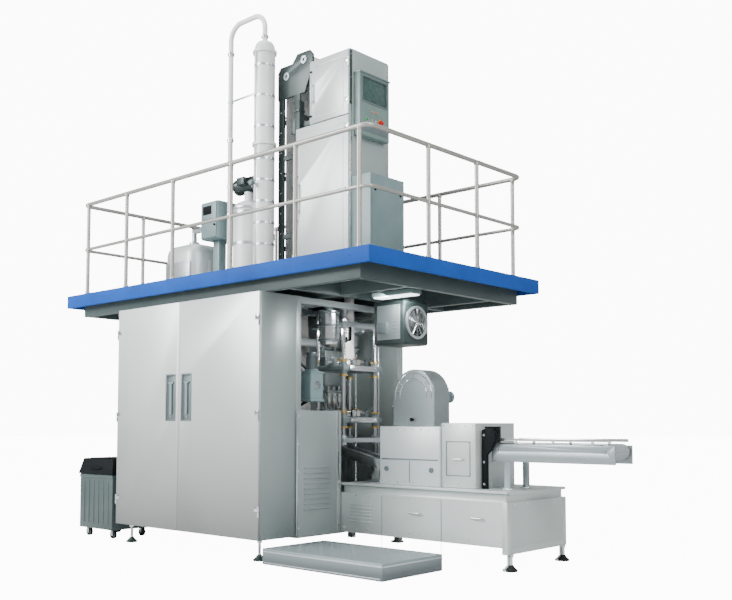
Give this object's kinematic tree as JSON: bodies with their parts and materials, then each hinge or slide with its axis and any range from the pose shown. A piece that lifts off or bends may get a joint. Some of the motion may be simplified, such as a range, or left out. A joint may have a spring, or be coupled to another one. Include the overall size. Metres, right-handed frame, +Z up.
{
  "type": "vertical form fill sealer",
  "caption": "Vertical form fill sealer for brick cartons: railed deck with filling tower, reel magazine, jaw bay, control cabinet, folding table and outfeed belt.",
  "frame": {"origin": "on the floor, at the middle of the whole machine's footprint", "axes": "+Z up, +X towards the outfeed, -Y towards the operator in front of the cabinet doors"},
  "size_m": [5.64, 2.6, 5.3659],
  "materials": {
    "stainless": "brushed",
    "door_steel": "fine brushed",
    "dark_steel": "satin dark",
    "rail_steel": "satin tube",
    "deck_blue": "semi-gloss blue",
    "deck_plate": "tread plate",
    "teal_paint": "satin",
    "black_plastic": "matte",
    "carton": "coated paperboard",
    "red_plastic": "gloss",
    "green_plastic": "gloss",
    "white_panel": "satin white",
    "belt": "matte belt"
  },
  "bodies": {
    "machine": {"access_ladder": "rail_steel", "air_heater_column": "stainless", "blower_unit": "white_panel", "body_panels": "stainless", "carton_web": "carton", "component_panel": "white_panel", "control_panel": "teal_paint", "conveyor_belt": "belt", "conveyor_frame": "stainless", "deck_fascia": "deck_blue", "deck_frame": "dark_steel", "deck_plate": "deck_plate", "discharge_box": "stainless", "drum_gearmotor": "dark_steel", "electrical_cabinet": "door_steel", "exhaust_fan": "dark_steel", "filling_pipe": "stainless", "folder_housing": "door_steel", "folding_table": "stainless", "forming_rings": "stainless", "guard_rail": "rail_steel", "jaw_guide_frame": "stainless", "levelling_foot_left": "dark_steel", "levelling_foot_right": "dark_steel", "main_frame": "stainless", "package_chute": "stainless", "reel_stand": "stainless", "scrubber_unit": "stainless", "service_unit": "teal_paint", "step_platform": "deck_plate", "sterile_air_pipe": "rail_steel", "tower_housing": "stainless", "transfer_guide": "black_plastic", "valve_cabinet": "teal_paint", "web_guide_frame": "dark_steel"},
    "door_left": {"cabinet_door_left": "door_steel"},
    "handle_left": {"door_handle_left": "black_plastic"},
    "door_right": {"cabinet_door_right": "door_steel"},
    "handle_right": {"door_handle_right": "black_plastic"},
    "reel_door": {"reel_bay_door": "stainless"},
    "reel": {"paper_reel": "carton", "reel_shaft": "dark_steel"},
    "roller_outer": {"web_roller_outer": "dark_steel"},
    "roller_inner": {"web_roller_inner": "dark_steel"},
    "gate": {"ladder_gate": "rail_steel"},
    "tower_door_low": {"tower_lower_door": "door_steel"},
    "tower_door_high": {"tower_upper_door": "door_steel"},
    "start": {"start_button": "green_plastic"},
    "stop": {"emergency_stop": "red_plastic"},
    "carriage_upper": {"jaw_carriage_upper": "dark_steel"},
    "carriage_lower": {"jaw_carriage_lower": "dark_steel"},
    "jaw_fu": {"jaw_front_upper": "stainless"},
    "jaw_ru": {"jaw_rear_upper": "stainless"},
    "jaw_fl": {"jaw_front_lower": "stainless"},
    "jaw_rl": {"jaw_rear_lower": "stainless"},
    "guard": {"folder_guard": "dark_steel"},
    "drum": {"folder_drum": "stainless"},
    "belt_drive": {"conveyor_drive_roller": "dark_steel"},
    "belt_tail": {"conveyor_tail_roller": "dark_steel"},
    "unit_lid": {"service_unit_lid": "black_plastic"}
  },
  "joints": [
    {"name": "door_left_hinge", "type": "hinge", "parent": "machine", "child": "door_left", "pos_m": [-1.89, -1.2684, 1.2], "axis": [0, 0, -1], "range_deg": [0, 110]},
    {"name": "handle_left_lift", "type": "hinge", "parent": "door_left", "child": "handle_left", "pos_m": [-1.017, -1.2644, 1.53], "axis": [-1, 0, 0], "range_deg": [0, 30]},
    {"name": "door_right_hinge", "type": "hinge", "parent": "machine", "child": "door_right", "pos_m": [0.21, -1.2684, 1.2], "axis": [0, 0, 1], "range_deg": [0, 110]},
    {"name": "handle_right_lift", "type": "hinge", "parent": "door_right", "child": "handle_right", "pos_m": [-0.783, -1.2644, 1.53], "axis": [-1, 0, 0], "range_deg": [0, 30]},
    {"name": "reel_door_hinge", "type": "hinge", "parent": "machine", "child": "reel_door", "pos_m": [-1.89, 0.62, 1.2], "axis": [0, 0, 1], "range_deg": [0, 90]},
    {"name": "reel_spin", "type": "hinge", "parent": "machine", "child": "reel", "pos_m": [-1.19, 0.07, 1.02], "axis": [0, -1, 0], "continuous": true},
    {"name": "roller_outer_spin", "type": "hinge", "parent": "machine", "child": "roller_outer", "pos_m": [-0.68, 0.07, 4.66], "axis": [0, 1, 0], "continuous": true},
    {"name": "roller_inner_spin", "type": "hinge", "parent": "machine", "child": "roller_inner", "pos_m": [-0.43, 0.07, 4.77], "axis": [0, 1, 0], "continuous": true},
    {"name": "gate_hinge", "type": "hinge", "parent": "machine", "child": "gate", "pos_m": [-2.086, 0.972, 3.2], "axis": [0, 0, 1], "range_deg": [0, 90]},
    {"name": "tower_door_low_hinge", "type": "hinge", "parent": "machine", "child": "tower_door_low", "pos_m": [0.246, -0.2204, 3.3], "axis": [0, 0, 1], "range_deg": [0, 110]},
    {"name": "tower_door_high_hinge", "type": "hinge", "parent": "machine", "child": "tower_door_high", "pos_m": [0.246, -0.2204, 4.36], "axis": [0, 0, 1], "range_deg": [0, 110]},
    {"name": "start_button_press", "type": "slide", "parent": "machine", "child": "start", "axis": [-1, 0, 0], "range_m": [0, 0.004], "stiffness_N_per_m": 400, "springref_m": -0.002},
    {"name": "emergency_stop_press", "type": "slide", "parent": "machine", "child": "stop", "axis": [-1, 0, 0], "range_m": [0, 0.004], "stiffness_N_per_m": 600, "springref_m": -0.002},
    {"name": "carriage_upper_stroke", "type": "slide", "parent": "machine", "child": "carriage_upper", "axis": [0, 0, -1], "range_m": [0, 0.16]},
    {"name": "carriage_lower_stroke", "type": "slide", "parent": "machine", "child": "carriage_lower", "axis": [0, 0, 1], "range_m": [0, 0.16]},
    {"name": "jaw_front_upper_open", "type": "slide", "parent": "carriage_upper", "child": "jaw_fu", "axis": [0, -1, 0], "range_m": [0, 0.05]},
    {"name": "jaw_rear_upper_open", "type": "slide", "parent": "carriage_upper", "child": "jaw_ru", "axis": [0, 1, 0], "range_m": [0, 0.05]},
    {"name": "jaw_front_lower_open", "type": "slide", "parent": "carriage_lower", "child": "jaw_fl", "axis": [0, -1, 0], "range_m": [0, 0.05]},
    {"name": "jaw_rear_lower_open", "type": "slide", "parent": "carriage_lower", "child": "jaw_rl", "axis": [0, 1, 0], "range_m": [0, 0.05]},
    {"name": "folder_guard_lift", "type": "hinge", "parent": "machine", "child": "guard", "pos_m": [0.89, 0.1546, 1.635], "axis": [-1, 0, 0], "range_deg": [0, 80]},
    {"name": "folder_drum_spin", "type": "hinge", "parent": "machine", "child": "drum", "pos_m": [0.89, 0.07, 1.4], "axis": [0, 1, 0], "continuous": true},
    {"name": "belt_drive_spin", "type": "hinge", "parent": "machine", "child": "belt_drive", "pos_m": [2.745, 0.08, 0.939], "axis": [0, 1, 0], "continuous": true},
    {"name": "belt_tail_spin", "type": "hinge", "parent": "machine", "child": "belt_tail", "pos_m": [1.785, 0.08, 0.939], "axis": [0, 1, 0], "continuous": true},
    {"name": "unit_lid_hinge", "type": "hinge", "parent": "machine", "child": "unit_lid", "pos_m": [-2.36, -0.7, 0.6404], "axis": [-1, 0, 0], "range_deg": [0, 100]}
  ],
  "couplings": [
    {"joint": "roller_outer_spin", "follows": "reel_spin", "ratio": 8.3333},
    {"joint": "roller_inner_spin", "follows": "reel_spin", "ratio": 8.3333},
    {"joint": "carriage_lower_stroke", "follows": "carriage_upper_stroke", "ratio": 1},
    {"joint": "jaw_rear_upper_open", "follows": "jaw_front_upper_open", "ratio": 1},
    {"joint": "jaw_rear_lower_open", "follows": "jaw_front_lower_open", "ratio": 1},
    {"joint": "belt_tail_spin", "follows": "belt_drive_spin", "ratio": 1}
  ]
}
